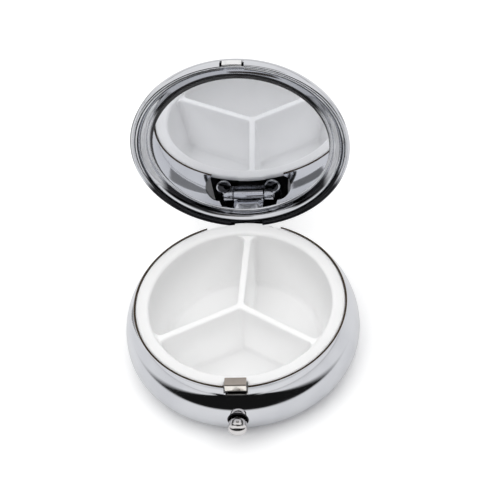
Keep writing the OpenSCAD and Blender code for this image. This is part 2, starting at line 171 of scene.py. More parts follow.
class CaseFinishes(bpy.types.PropertyGroup):
    """Colours of the case."""

    chrome: colour("polished chrome of the shells", 0.66, 0.67, 0.7)
    chrome_dull: colour("chrome where it is hazed", 0.6, 0.61, 0.645)
    rim_edge: colour("raw edge of the base's rim", 0.07, 0.05, 0.035)
    # Painted dark reflections and painted shade, which masks put on the lid's rolled edge and on the frame
    painted_dark_reflection_and_shade: colour("dark places of the lid's bead and of the frame", 0.03, 0.03, 0.032)
    tray: colour("white plastic of the tray", 0.95, 0.95, 0.95)
    # Deeper white of random flow patches, and painted shade low down in the tray
    tray_flow_and_painted_shade: colour("white plastic in its thicker places", 0.82, 0.82, 0.82)
    mirror: colour("silvering of the mirror", 0.8, 0.81, 0.84)
    # Painted shade of a gap by the bead, on the glass past the silvered part
    painted_gap_shade: colour("glass past the end of the silvering", 0.02, 0.02, 0.022)
    button: colour("polished steel of the button", 0.72, 0.7, 0.7)
    latch: colour("plated strip of the latch", 0.92, 0.88, 0.82)
    # Painted reflection: the latch's flat top is darker than its front
    latch_top_painted_reflection: colour("worn top of the latch", 0.4, 0.355, 0.32)
    catch: colour("plated tongue of the catch", 0.85, 0.85, 0.85)
    steel: colour("plain steel of the inner parts", 0.33, 0.33, 0.34)
    blackened: colour("blackened steel of the hinge bracket", 0.05, 0.05, 0.055)
    cove: colour("chrome of the mirror's frame", 0.62, 0.63, 0.66)
    # Near-black of the collar, and painted shade on the plate behind the hinge
    oxide: colour("dark oxide of the collar", 0.02, 0.02, 0.022)
    pad: colour("foam behind the mirror", 0.06, 0.06, 0.065)


class StageSettings(bpy.types.PropertyGroup):
    """The floor, the light, the cards that the metal mirrors, and the camera."""

    floor_size: length("width of the floor", 3000)
    floor_fades: length("distance at which the floor starts to fade to plain white", 200)
    floor: colour("pale floor", 0.9, 0.9, 0.9)
    floor_gain: factor("how much paler the floor is for the camera", 1.32, 1, 2)
    lamp_size: length("width of the soft lamp overhead", 1300)
    lamp_height: length("height of the soft lamp", 650)
    lamp_watts: FloatProperty(
        name="Lamp power", description="Power of the soft lamp", default=8.6, unit="POWER"
    )
    sky: factor("strength of the light from all round", 0.18)
    strip_near: length("distance from the case's middle to the dark strip on the floor", 40)
    strip_width: length("width of the dark strip at the case's middle", 72)
    strip_length: length("length of the dark strip", 400)
    strip_spread: factor("how much the dark strip widens away from the case", 0.27)
    card_lift: length("height of the lying cards above the floor", 0.2)
    flag_low: length("height of the lower edge of the flags about the case", 17)
    flag_height: length("height of the flags", 30)
    flag_width: length("width of the flags", 50)
    flag_away: length("distance of the flags", 38)
    flag_turn: angle("angle between the flags", 58)
    hood_width: length("width of the dark hood about the camera", 420)
    hood_height: length("height of the dark hood about the camera", 220)
    hood_away: length("distance of the dark hood", 520)
    hood_azimuth: angle("turn of the dark hood about the case", -16)
    hood_elevation: angle("height angle of the dark hood", 43)
    dark_card: colour("black cards", 0.01, 0.01, 0.01)
    dark_hood: colour("brown cloth of the hood", 0.12, 0.105, 0.095)
    grey_card: colour("grey cards behind", 0.3, 0.3, 0.3)
    camera_x: length("camera's place across", 42.92)
    camera_y: length("camera's place along the depth", -318.95)
    camera_z: length("camera's height", 399.82)
    azimuth: angle("camera's turn about the case", -7.067)
    elevation: angle("camera's look down", 48.837)
    roll: angle("camera's roll", -6.484)
    focal_length: length("camera's focal length on its sensor", 170.85)
    sensor: length("width of the camera's sensor", 36)


# Shader maths

class Value:
    """A socket in a node tree. Python's operators on it add Math nodes."""

    def __init__(self, board, socket):
        self.board, self.socket = board, socket

    def math(self, operation, *others):
        return self.board.add("ShaderNodeMath", {"operation": operation}, self, *others)

    def __add__(self, other):
        return self.math("ADD", other)

    __radd__ = __add__

    def __sub__(self, other):
        return self.math("SUBTRACT", other)

    def __rsub__(self, other):
        return self.board.add("ShaderNodeMath", {"operation": "SUBTRACT"}, other, self)

    def __mul__(self, other):
        return self.math("MULTIPLY", other)

    __rmul__ = __mul__

    def __abs__(self):
        return self.math("ABSOLUTE")

    def out(self, name):
        """Another socket of the same node."""
        return Value(self.board, self.socket.node.outputs[name])

    def at_most(self, other):
        return self.math("MINIMUM", other)

    def step(self, start, end):
        """Goes smoothly from 0 to 1 while this one goes from a start to an end, which may lie below it."""
        return self.board.add("ShaderNodeMapRange", {"interpolation_type": "SMOOTHSTEP"}, self, start, end)

    def from_to(self, start, end):
        """The same for a length, between two places in millimetres."""
        return self.step(start * MM, end * MM)


class Board:
    """Adds nodes to a tree, and links or fills their sockets."""

    # Sockets of a colour's Mix node, which share their names with others
    FACTOR, FIRST, SECOND, MIXED = 0, 6, 7, 2

    def __init__(self, tree):
        self.tree = tree
        tree.nodes.clear()

    def add(self, kind, settings=None, *values, output=0, sockets=None, **named):
        """Makes a node. Its settings come first, then its sockets in order, by number or by name."""
        node = self.tree.nodes.new(kind)
        for key, value in (settings or {}).items():
            setattr(node, key, value)
        for key, value in [*enumerate(values), *(sockets or {}).items(), *named.items()]:
            socket = node.inputs[key if isinstance(key, int) else key.replace("_", " ")]
            if isinstance(value, Value):
                self.tree.links.new(value.socket, socket)
            else:
                socket.default_value = value
        return Value(self, node.outputs[output]) if node.outputs else node

    def mix(self, share, low, high):
        """A colour between two others."""
        low, high = (c if isinstance(c, Value) else (*c[:3], 1) for c in (low, high))
        filled = {self.FACTOR: share, self.FIRST: low, self.SECOND: high}
        return self.add("ShaderNodeMix", {"data_type": "RGBA"}, output=self.MIXED, sockets=filled)

    def place(self):
        """Place on the object, in metres."""
        return self.add("ShaderNodeTexCoord", None, output="Object")

    def split(self, place):
        """The three parts of a place."""
        parts = self.add("ShaderNodeSeparateXYZ", None, place)
        return parts.out("X"), parts.out("Y"), parts.out("Z")

    def distance(self, place, point=(0, 0, 0)):
        return self.add("ShaderNodeVectorMath", {"operation": "DISTANCE"}, place, point, output="Value")

    def noise(self, place, features_per_mm, detail=2.0):
        """Noise from 0 to 1 whose features have a size in millimetres."""
        return self.add("ShaderNodeTexNoise", None, Vector=place, Scale=features_per_mm / MM, Detail=detail)

    def haze(self, place, features_per_mm):
        """Soft patches, as on metal that was wiped."""
        return self.noise(place, features_per_mm, detail=3).step(0.42, 0.72)

    def bump(self, height, strength, distance):
        return self.add("ShaderNodeBump", None, Height=height, Strength=strength, Distance=distance)


# Finishes

def material(name, build):
    """A new material whose surface a function builds on a board."""
    made = bpy.data.materials.new(name)
    made.use_nodes = True
    board = Board(made.node_tree)
    shader = build(board)
    board.add("ShaderNodeOutputMaterial", None, Surface=shader)
    return made


def shade_of(tone, share):
    """A colour made darker or lighter by a share."""
    return [share * v for v in tone]


def metal(name, bright, dull, clean=0.03, hazed=0.09, haze_per_mm=0.08, grain_per_mm=3.0, grain=0.02,
          mask=None, raw=None, coarse=0.05):
    """Metal with broad haze and a fine grain, by its roughness where clean and where hazed.

    It may have a second place, given by a mask, a colour and the roughness that it adds: a raw edge on the
    rim, and painted reflection, painted shade or painted highlight on other pieces.
    """

    def build(board):
        place = board.place()
        haze = board.haze(place, haze_per_mm)
        fine = board.noise(place, grain_per_mm)
        shade, matt = board.mix(haze, bright, dull), clean + haze * (hazed - clean) + fine * grain
        if mask:
            there = mask(*board.split(place))
            shade, matt = board.mix(there, shade, raw), matt + there * coarse
        return board.add(
            "ShaderNodeBsdfPrincipled", None,
            Base_Color=shade,
            Metallic=1.0,
            Roughness=matt,
            Normal=board.bump(fine, strength=0.03, distance=0.01 * MM),
        )

    return material(name, build)


def above(height, fade=0.08 * MM):
    """Mask of what lies above a height."""
    return lambda x, y, z: z.step(height, height + fade)


def on_the_lid(p, x, y, z):
    """Place on the lid as if it were closed: towards the hinge, up from the rim, and out from the middle."""
    across, up = p["opened"].inverted()[1], p["opened"].inverted()[2]
    along = y * across[1] + z * across[2] + across[3]
    height = y * up[1] + z * up[2] + up[3]
    return along, height, (x * x + along * along).math("SQRT")


def across_the_view(out, low, out_share=0.66, painted_shade_share=0.75):
    """How far a step out and a step to the rim take a point of the open lid across the camera's picture."""
    return out * out_share + low * painted_shade_share


def painted_dark_bead_by_the_hinge(p):
    """Mask of a painted dark reflection on the outer side of the lid's rolled edge, on the part of it that is
    by the hinge.
    """
    outer, near = (-0.5, -0.42), (8, 12)

    def mask(x, y, z):
        along, height, radius = on_the_lid(p, x, y, z)
        outwards = across_the_view(radius - p["bead_ring"], p["bead_z"] - height)
        return outwards.from_to(*outer) * along.from_to(*near)

    return mask


def painted_dark_in_the_frame(s, p):
    """Mask of the frame's painted dark places: painted dark reflections in crescents of the cove and its lip
    by the hinge, and painted shade on the inner side of the bead opposite.

    Each pair says from where to where the dark fades in, in millimetres.
    """
    cove, cove_end, lip, near = (20.15, 20.4), (21.9, 21.6), (21.95, 22.05), (6, 9)
    left, left_end, right, right_end = (-18.5, -16.5), (-3, -9), (9, 12), (19, 17)
    inner, opposite = (-0.12, 0), (-7, -11)
    bead, bead_z = (s.mirror_diameter + s.bezel_width) / 2, s.mirror_depth - s.frame_sheet + s.bezel_width / 2

    def mask(x, y, z):
        along, height, radius = on_the_lid(p, x, y, z)
        ring = radius.from_to(*cove) * radius.from_to(*cove_end)
        sides = x.from_to(*left) * x.from_to(*left_end) + x.from_to(*right) * x.from_to(*right_end)
        hinge_side = (ring * sides + radius.from_to(*lip)).at_most(1.0) * along.from_to(*near)
        inwards = across_the_view(bead - radius, bead_z - height)
        return hinge_side + inwards.from_to(*inner) * along.from_to(*opposite)

    return mask


def ear_edge_highlights(s, p):
    """Mask of painted highlights along the edges of the bracket's two ears, and of all that lies farther out
    than they do.
    """
    edge, fade = s.ear_radius - 0.35 * MM, 0.1 * MM

    def mask(x, y, z):
        out, up = abs(x) - s.ear_apart, z - p["ear_z"]
        return (out * out + up * up).math("SQRT").step(edge, edge + fade)

    return mask


def plastic(name, light, deep):
    """White moulded plastic, deeper in broad random patches and with painted shade low down in the tray, with
    a faint orange-peel surface.
    """
    flow_share, painted_shade_share = 0.2, 0.8

    def build(board):
        place = board.place()
        flow = board.noise(place, 0.06).step(0.35, 0.75)
        peel = board.noise(place, 1.6)
        # Painted shade: the plastic turns deeper towards the floor of the compartments
        low = board.split(place)[2].from_to(3, 1.5)
        return board.add(
            "ShaderNodeBsdfPrincipled", None,
            Base_Color=board.mix(flow * flow_share + low * painted_shade_share, light, deep),
            Roughness=0.3 + flow * 0.06 + peel * 0.05,
            Normal=board.bump(peel, strength=0.05, distance=0.02 * MM),
            Subsurface_Weight=1.0,
            Subsurface_Radius=(1.0, 1.0, 1.0),
            Subsurface_Scale=1.5 * MM,
        )

    return material(name, build)


def silvering(name, bright, gap_shade):
    """Mirror glass with a dark crescent past the end of its silvering, a little off the middle, which is
    painted shade of a gap by the bead.
    """
    s, p = places()
    middle = p["opened"] @ Vector((s.silver_across, s.silver_down, s.mirror_depth))
    reach, fade = s.silver_diameter / 2, 0.05 * MM

    def build(board):
        place = board.place()
        haze = board.haze(place, 0.05)
        end = board.distance(place, middle).step(reach - fade, reach + fade)
        silver = board.mix(haze, bright, shade_of(bright, 0.95))
        return board.add(
            "ShaderNodeBsdfPrincipled", None,
            Base_Color=board.mix(end, silver, gap_shade),
            Metallic=1.0 - end,
            Roughness=haze * 0.015 + end * 0.1,
        )

    return material(name, build)


def foam(name, shade):
    """Fine closed foam."""

    def build(board):
        cells = board.noise(board.place(), 4.0, detail=3)
        return board.add(
            "ShaderNodeBsdfPrincipled", None,
            Base_Color=board.mix(cells, shade, shade_of(shade, 2)),
            Roughness=0.85 + cells * 0.1,
            Normal=board.bump(cells, strength=0.4, distance=0.1 * MM),
        )

    return material(name, build)


def finishes():
    """Every finish by name, made once."""
    if FINISH:
        return FINISH
    c = bpy.context.scene.case_finishes
    s, p = places()
    # Height above which the latch's top gets its painted reflection
    painted_reflection_height = s.base_height + s.latch_top - 0.3 * MM
    FINISH["chrome"] = metal("polished_chrome", c.chrome, c.chrome_dull)
    FINISH["rim"] = metal(
        "chrome_with_raw_rim", c.chrome, c.chrome_dull, mask=above(p["lip_z"]), raw=c.rim_edge, coarse=0.3
    )
    # The lid's chrome, with a painted dark reflection on its rolled edge by the hinge
    FINISH["lid"] = metal(
        "chrome_with_painted_dark_bead", c.chrome, c.chrome_dull, mask=painted_dark_bead_by_the_hinge(p), raw=c.painted_dark_reflection_and_shade
    )
    FINISH["tray"] = plastic("white_moulded_plastic", c.tray, c.tray_flow_and_painted_shade)
    FINISH["mirror"] = silvering("silvered_glass", c.mirror, c.painted_gap_shade)
    FINISH["button"] = metal(
        "turned_steel", c.button, shade_of(c.button, 0.9), clean=0.13, hazed=0.18, haze_per_mm=0.5
    )
    # The latch's strip, with a painted dark reflection on its top
    FINISH["latch"] = metal(
        "plated_strip", c.latch, shade_of(c.latch, 0.85), clean=0.12, hazed=0.22, haze_per_mm=0.6,
        grain_per_mm=5.0, grain=0.05, mask=above(painted_reflection_height), raw=c.latch_top_painted_reflection, coarse=0.3,
    )
    # The bracket's blackened steel, with painted highlights in chrome colour along the ears' edges
    FINISH["blackened"] = metal(
        "blackened_steel", c.blackened, shade_of(c.blackened, 1.5), clean=0.08, hazed=0.15, haze_per_mm=0.3,
        mask=ear_edge_highlights(s, p), raw=c.chrome, coarse=0.1,
    )
    # The frame's chrome, with painted dark reflections in the cove and painted shade on the bead
    FINISH["cove"] = metal(
        "pressed_frame_chrome_with_painted_dark", c.cove, shade_of(c.cove, 0.85), clean=0.06, hazed=0.1,
        mask=painted_dark_in_the_frame(s, p), raw=c.painted_dark_reflection_and_shade,
    )
    FINISH["catch"] = metal(
        "plated_catch", c.catch, shade_of(c.catch, 0.9), clean=0.15, hazed=0.25, haze_per_mm=0.6,
        grain_per_mm=5.0, grain=0.05,
    )
    FINISH["steel"] = metal(
        "plain_steel", c.steel, shade_of(c.steel, 0.7), clean=0.2, hazed=0.35, haze_per_mm=0.3,
        grain_per_mm=4.0, grain=0.1,
    )
    # Near-black metal for the collar, and painted shade for the plate behind the hinge
    FINISH["oxide"] = metal(
        "dark_oxide", c.oxide, shade_of(c.oxide, 1.5), clean=0.25, hazed=0.4, haze_per_mm=0.5,
        grain_per_mm=4.0, grain=0.1,
    )
    FINISH["pad"] = foam("grey_foam", c.pad)
    return FINISH


# Outlines and forms

def arc(x, y, rx, ry, start, end, steps):
    """Points along an arc of an ellipse, with its angles in degrees."""
    return [
        (x + rx * math.cos(math.radians(a)), y + ry * math.sin(math.radians(a)))
        for a in np.linspace(start, end, steps + 1)
    ]


def circle(x, y, r, steps):
    """Points around a whole circle."""
    return arc(x, y, r, r, 0, 360, steps)[:-1]


def distinct(points):
    """The outline without points that lie on the one before."""
    kept = [points[0]]
    for p in points[1:]:
        if math.dist(p, kept[-1]) > REPEATED:
            kept.append(p)
    return kept


def turned_tree():
    """Geometry Nodes that turn an outline about Z: the outline's points are (radius, height)."""
    name = "Turned form"
    if name in bpy.data.node_groups:
        return bpy.data.node_groups[name]
    tree = bpy.data.node_groups.new(name, "GeometryNodeTree")
    face = tree.interface
    face.new_socket("Outline", in_out="INPUT", socket_type="NodeSocketGeometry")
    for label, kind in (("Sides", "Int"), ("Path radius", "Float"), ("Finish", "Material")):
        face.new_socket(label, in_out="INPUT", socket_type="NodeSocket" + kind)
    face.new_socket("Form", in_out="OUTPUT", socket_type="NodeSocketGeometry")
    board = Board(tree)
    given = board.add("NodeGroupInput")
    labels = ("Outline", "Sides", "Path radius", "Finish")
    outline, sides, radius, finish = (given.out(label) for label in labels)
    profile = board.add("GeometryNodeMeshToCurve", None, outline)
    path = board.add("GeometryNodeCurvePrimitiveCircle", {"mode": "RADIUS"}, Resolution=sides, Radius=radius)
    form = board.add("GeometryNodeCurveToMesh", None, Curve=path, Profile_Curve=profile)
    whole = board.add("GeometryNodeMergeByDistance", None, Geometry=form, Distance=MERGED)
    real = board.add("GeometryNodeRealizeInstances", None, whole)
    last = board.add("GeometryNodeSetMaterial", None, Geometry=real, Material=finish)
    board.add("NodeGroupOutput", None, last)
    return tree


def plain_mesh(obj):
    """Turns what the modifiers make into the object's own mesh."""
    graph = bpy.context.evaluated_depsgraph_get()
    made = bpy.data.meshes.new_from_object(
        obj.evaluated_get(graph), preserve_all_data_layers=True, depsgraph=graph
    )
    obj.modifiers.clear()
    obj.data = made
    return obj


def tidy_mesh(obj):
    """Merges doubles and points every face outwards."""
    form = bmesh.new()
    form.from_mesh(obj.data)
    bmesh.ops.remove_doubles(form, verts=form.verts, dist=MERGED)
    bmesh.ops.dissolve_degenerate(form, edges=form.edges, dist=MERGED)
    bmesh.ops.recalc_face_normals(form, faces=form.faces)
    form.to_mesh(obj.data)
    form.free()
    return obj


def linked(name, mesh):
    """An object in the scene for a mesh."""
    obj = bpy.data.objects.new(name, mesh)
    bpy.context.scene.collection.objects.link(obj)
    return obj


def closed_mesh(name, form):
    """A mesh from a closed form, with its faces pointing outwards."""
    bmesh.ops.recalc_face_normals(form, faces=form.faces)
    mesh = bpy.data.meshes.new(name)
    form.to_mesh(mesh)
    form.free()
    return mesh


def joined(form, low, high, around=True):
    """Faces between two rows of points, which close into rings or not."""
    for i in range(len(low) if around else len(low) - 1):
        j = (i + 1) % len(low)
        form.faces.new((low[i], low[j], high[j], high[i]))


def turned(name, points, finish, closed=False, sides=SIDES, matrix=None):
    """A form turned about Z from an outline of radius and height, by Geometry Nodes."""
    points = distinct(points)
    if closed and math.dist(points[0], points[-1]) < REPEATED:
        points.pop()
    path = 10 * MM
    count = len(points)
    edges = [(i, i + 1) for i in range(count - 1)] + ([(count - 1, 0)] if closed else [])
    mesh = bpy.data.meshes.new(name)
    mesh.from_pydata([(r - path, -z, 0) for r, z in points], edges, [])
    obj = linked(name, mesh)
    modifier = obj.modifiers.new("Turned form", "NODES")
    tree = turned_tree()
    modifier.node_group = tree
    wanted = {"Sides": sides, "Path radius": path, "Finish": finish}
    for item in tree.interface.items_tree:
        if item.in_out == "INPUT" and item.name in wanted:
            modifier[item.identifier] = wanted[item.name]
    plain_mesh(obj)
    if matrix:
        obj.data.transform(matrix)
    return tidy_mesh(obj)


def prism(name, outline, depth, matrix):
    """An outline in X and Y, made deep along Z from 0, then placed by a matrix."""
    outline = distinct(outline)
    form = bmesh.new()
    low, high = ([form.verts.new((x, y, z)) for x, y in outline] for z in (0, depth))
    form.faces.new(low)
    form.faces.new(high)
    joined(form, low, high)
    mesh = closed_mesh(name, form)
    mesh.transform(matrix)
    return linked(name, mesh)


def block(name, width, y0, y1, z0, z1):
    """A block centred across X."""
    corners = [(-width / 2, y0), (width / 2, y0), (width / 2, y1), (-width / 2, y1)]
    return prism(name, corners, z1 - z0, Matrix.Translation((0, 0, z0)))


def cut(obj, *tools, operation="DIFFERENCE"):
    """Cuts other objects out of an object, or unites them with it, and removes them."""
    for tool in tools:
        modifier = obj.modifiers.new("cut", "BOOLEAN")
        modifier.operation = operation
        modifier.solver = "MANIFOLD"
        modifier.object = tool
        plain_mesh(obj)
        bpy.data.objects.remove(tool)
    return obj


def smooth(obj, degrees=32):
    """Smooth shading, with edges sharper than an angle kept."""
    mesh = obj.data
    mesh.shade_smooth()
    mesh.set_sharp_from_angle(angle=math.radians(degrees))
    return obj


def rounded(obj, width, segments=2, degrees=32):
    """Rounds an object's sharp edges."""
    modifier = obj.modifiers.new("Rounded edges", "BEVEL")
    modifier.width = width
    modifier.segments = segments
    modifier.limit_method = "ANGLE"
    modifier.angle_limit = math.radians(degrees)
    modifier.use_clamp_overlap = True
    plain_mesh(obj)
    return smooth(obj)


def finished(obj, finish, body, slot, *nodes):
    """Gives a piece its finish and its place among the solid model's bodies."""
    obj.data.materials.clear()
    obj.data.materials.append(finish)
    for face in obj.data.polygons:
        face.material_index = 0
    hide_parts(*nodes)
    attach(obj, body)
    return obj


def copy_of(node, name, flat=0.5):
    """A clean copy of a solid, with the faces that are flat within an angle made whole again."""
    obj = linked(name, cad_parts[node].data.copy())
    form = bmesh.new()
    form.from_mesh(obj.data)
    bmesh.ops.remove_doubles(form, verts=form.verts, dist=SPLIT_IN_THE_SOLID)
    bmesh.ops.dissolve_limit(
        form, angle_limit=math.radians(flat), verts=form.verts, edges=form.edges, delimit={"NORMAL"}
    )
    form.to_mesh(obj.data)
    form.free()
    return obj


# Places that several pieces share

def places():
    """Radii, heights and places worked out from the sizes, as the solid model does."""
    s = bpy.context.scene.case_sizes
    corner_share, latch_in_front = 1.075, 0.25 * MM
    p = {}
    p["tray_r"] = s.tray_diameter / 2
    p["rim_in"] = p["tray_r"] + s.fit
    p["rim"] = p["rim_in"] + s.sheet
    p["base_r"] = p["rim"] + s.belly_out
    p["foot"] = p["base_r"] - s.belly_radius
    p["groove"] = p["foot"] - s.foot_width - s.groove_width / 2
    p["lip"] = s.sheet / 2
    p["lip_z"] = s.base_height - p["lip"]
    p["tray_top"] = p["tray_r"] - s.flange_width
    p["tray_low"] = p["tray_top"] - s.tray_draft
    p["tray_under"] = s.groove_height + s.sheet + s.touch
    p["tray_floor"] = p["tray_under"] + s.tray_floor
    p["lid_r"] = p["rim"] + s.lid_out
    p["bead_z"] = s.play + s.bead_radius
    p["bead_ring"] = p["lid_r"] - s.bead_radius
    p["corner"] = (s.lid_height - p["bead_z"]) * corner_share
    p["corner_z"] = s.lid_height - p["corner"]
    p["corner_ring"] = p["lid_r"] - p["corner"]
    p["skin"] = p["lid_r"] - s.sheet
    p["latch_y"] = -(p["rim"] + latch_in_front)
    p["latch_slot"] = s.latch_width + 2 * s.play
    p["hinge_y"] = p["rim"] - s.pin_in
    p["hinge_z"] = s.base_height - s.pin_drop
    p["ear_z"] = p["hinge_z"] + s.ear_above
    p["ball_y"] = -(p["base_r"] + s.ball_out)
    about = Matrix.Translation((0, p["hinge_y"], p["hinge_z"]))
    down = Matrix.Translation((0, -p["hinge_y"], s.base_height - p["hinge_z"]))
    p["opened"] = about @ Matrix.Rotation(-s.lid_angle, 4, "X") @ down
    return s, p


def shoulder_height(s, p, radius, reach):
    """Height of the ellipse that the upper half of the belly follows, so that it passes through the rim."""
    return (p["lip_z"] - s.belly_height) / math.sqrt(1 - ((radius - p["foot"]) / reach) ** 2)


def base_outline(s, p, steps=48):
    """Outline of the base shell, from the middle of its underside out, up and back to the middle inside."""
    outer, inner = s.belly_radius, s.belly_radius - s.sheet
    up = math.degrees(math.acos((p["rim"] - p["foot"]) / outer))
    up_in = math.degrees(math.acos((p["rim_in"] - p["foot"]) / inner))
    high = shoulder_height(s, p, p["rim"], outer)
    high_in = shoulder_height(s, p, p["rim_in"], inner)
    half = s.groove_width / 2
    return (
        [(0, 0)] + arc(p["groove"], 0, half, s.groove_height, 180, 0, steps=10)
        + arc(p["foot"], s.belly_height, outer, s.belly_height, -90, 0, steps)
        + arc(p["foot"], s.belly_height, outer, high, 0, up, steps)
        + arc(p["rim_in"] + p["lip"], p["lip_z"], p["lip"], p["lip"], 0, 180, steps=8)
        + arc(p["foot"], s.belly_height, inner, high_in, up_in, 0, steps)
        + arc(p["foot"], s.belly_height, inner, s.belly_height - s.sheet, 0, -90, steps)
        + arc(p["groove"], s.sheet, half + s.sheet, s.groove_height, 0, 180, steps=10) + [(0, s.sheet)]
    )


def along_button(height):
    """Turns a form about Z into one about the button's axis, with its top towards the front."""
    return Matrix.Translation((0, 0, height)) @ Matrix.Rotation(math.radians(90), 4, "X")


def hinge_opening(s, p):
    """Cutters for the opening in the back of the base: a mouth, two lobes and a step under the leaf."""
    foot_out, side_out, mouth_out, lobe = 2.4 * MM, 3.3 * MM, 4.4 * MM, 2.6 * MM
    below_pin, step = 1.65 * MM, 0.2 * MM
    half = s.knuckle_width / 2 + s.play + s.fit
    foot, side, mouth = half + foot_out, half + side_out, half + mouth_out
    low, ear, top = p["hinge_z"] - below_pin, p["ear_z"], s.base_height + OVER
    right = [(half, low), (foot, low + step), (side, ear - lobe / 2), (mouth, ear), (mouth, top)]
    outline = right + [(-x, z) for x, z in reversed(right)]
    stand = Matrix.Translation((0, p["hinge_y"] + DEEP / 2, 0)) @ Matrix.Rotation(math.radians(90), 4, "X")
    tools = [prism("hinge_mouth", outline, DEEP, stand)]
    for sign in (-1, 1):
        tools.append(prism("hinge_lobe", circle(sign * side, ear, lobe, steps=48), DEEP, stand))
    return tools


class PILLCASE_OT_base(bpy.types.Operator):
    """Makes the pressed base shell, with the latch's notch, the button's hole and the hinge's opening"""

    bl_idname = "pillcase.base"
    bl_label = "Base shell"

    def execute(self, context):
        s, p = places()
        round_collar, under_latch = 0.26 * MM, 0.6 * MM
        obj = turned("base_shell_skin", base_outline(s, p), finishes()["rim"])
        nose = s.base_height + s.latch_top - s.latch_face
        drill = prism(
            "button_hole", circle(0, 0, s.ball_diameter / 2 + round_collar, steps=64), DEEP,
            along_button(s.button_height) @ Matrix.Translation((0, 0, p["foot"])),
        )
        notch = block(
            "latch_notch", p["latch_slot"], -p["base_r"], -p["tray_r"] + s.latch_sheet,
            nose - under_latch, s.base_height + OVER,
        )
        cut(obj, notch, drill, *hinge_opening(s, p))
        smooth(tidy_mesh(obj), degrees=35)
        finished(obj, finishes()["rim"], BASE, "shell", "base_shell")
        return {"FINISHED"}


def tray_outline(s, p):
    """Outline of the tray: underside, outer wall, flange, inner wall and floor."""
    e, mouth, f, high = s.tray_edge, s.tray_mouth, s.tray_fillet, s.base_height
    under = high - s.flange_thickness
    slope = math.degrees(math.atan2(s.tray_draft, high - p["tray_floor"]))
    return (
        [(0, p["tray_under"])]
        + arc(p["tray_low"] + s.tray_wall - e, p["tray_under"] + e, e, e, -90, 0, steps=6)
        + [(p["tray_top"] + s.tray_wall, under), (p["tray_r"], under)]
        + arc(p["tray_r"] - e, high - e, e, e, 0, 90, steps=8)
        + arc(p["tray_top"] + mouth, high - mouth, mouth, mouth, 90, 180 - slope, steps=12)
        + arc(p["tray_low"] - f, p["tray_floor"] + f, f, f, -slope, -90, steps=10)
        + [(0, p["tray_floor"])]
    )


def divider_outline(s, p, z, extra, steps=8):
    """Outline of all dividers at a height: arms that flare into the wall, with round corners between them."""
    half = s.divider_thickness / 2 + extra
    corner = s.divider_thickness / 2 + s.divider_corner
    wall = p["tray_low"] + s.tray_draft * (z - p["tray_floor"]) / (s.base_height - p["tray_floor"])
    small, between = corner - half, math.pi / s.cells
    reach = math.sqrt((wall - small) ** 2 - corner ** 2)
    lean = math.atan2(corner, reach)
    tip = (wall + s.tray_wall / 2) / (wall - small)
    points = []
    for k in range(s.cells):
        arm = math.pi / 2 - s.divider_turn + 2 * between * k
        out = Vector((math.cos(arm), math.sin(arm)))
        side = Vector((-out.y, out.x))

        def curve(centre, start, end):
            turns = np.linspace(start, end, steps + 1)
            return [centre + small * (math.cos(a) * out + math.sin(a) * side) for a in turns]

        right, left = out * reach - side * corner, out * reach + side * corner
        points += curve(right, math.pi / 2, -lean) + [right * tip, left * tip]
        points += curve(left, lean, -math.pi / 2)
        hub = Matrix.Rotation(between, 2) @ out * corner / math.sin(between)
        points += curve(hub, 3 * math.pi / 2, 2 * between + math.pi / 2)
    return points


def dividers(s, p, foot_steps=8, top_steps=7, edge_share=0.3):
    """The dividers as one form: outlines stacked from below the floor to the rounded tops."""
    fillet, edge, draft = s.divider_fillet, edge_share * s.divider_thickness, s.divider_draft
    floor, top = p["tray_floor"], s.base_height - s.divider_drop
    layers = [(floor - s.tray_floor / 2, fillet + draft)]
    for a in np.linspace(math.pi / 2, 0, foot_steps + 1):
        layers.append((floor + fillet * (1 - math.sin(a)), fillet * (1 - math.cos(a)) + draft))
    for a in np.linspace(0, math.pi / 2, top_steps + 1):
        layers.append((top - edge * (1 - math.sin(a)), -edge * (1 - math.cos(a))))
    form = bmesh.new()
    rings = []
    for z, extra in layers:
        rings.append([form.verts.new((x, y, z)) for x, y in divider_outline(s, p, z, extra)])
    for low, high in zip(rings, rings[1:]):
        joined(form, low, high)
    form.faces.new(rings[0])
    form.faces.new(rings[-1])
    return linked("dividers", closed_mesh("dividers", form))


class PILLCASE_OT_tray(bpy.types.Operator):
    """Makes the white tray, with its flange, its lug, its notch under the latch and its dividers"""

    bl_idname = "pillcase.tray"
    bl_label = "Tray"

    def execute(self, context):
        s, p = places()
        obj = turned("tray_moulding", tray_outline(s, p), finishes()["tray"])
        end = p["latch_y"] + 2 * s.latch_sheet + s.touch + s.press + s.play
        cut(obj, block(
            "tray_notch", p["latch_slot"], -p["tray_r"] - OVER, end,
            s.base_height - 2 * s.flange_thickness, s.base_height + OVER,
        ))
        cut(obj, dividers(s, p), self.lug(s, p), operation="UNION")
        smooth(tidy_mesh(obj), degrees=35)
        finished(obj, finishes()["tray"], BASE, "tray", "pill_tray")
        return {"FINISHED"}

    def lug(self, s, p):
        """The small lug on the flange's edge, in line with the divider at the back."""
        half_width, stands_out = 3 * MM, 0.2 * MM
        span = math.degrees(math.asin(half_width / p["tray_r"]))
        middle = 90 - math.degrees(s.divider_turn)
        outer, inner = p["tray_r"] + stands_out, p["tray_r"] - s.tray_edge
        ring = arc(0, 0, outer, outer, middle - span, middle + span, steps=12)
        ring += arc(0, 0, inner, inner, middle + span, middle - span, steps=12)
        low = Matrix.Translation((0, 0, s.base_height - s.flange_thickness))
        return rounded(prism("lug", ring, s.flange_thickness, low), width=0.08 * MM)


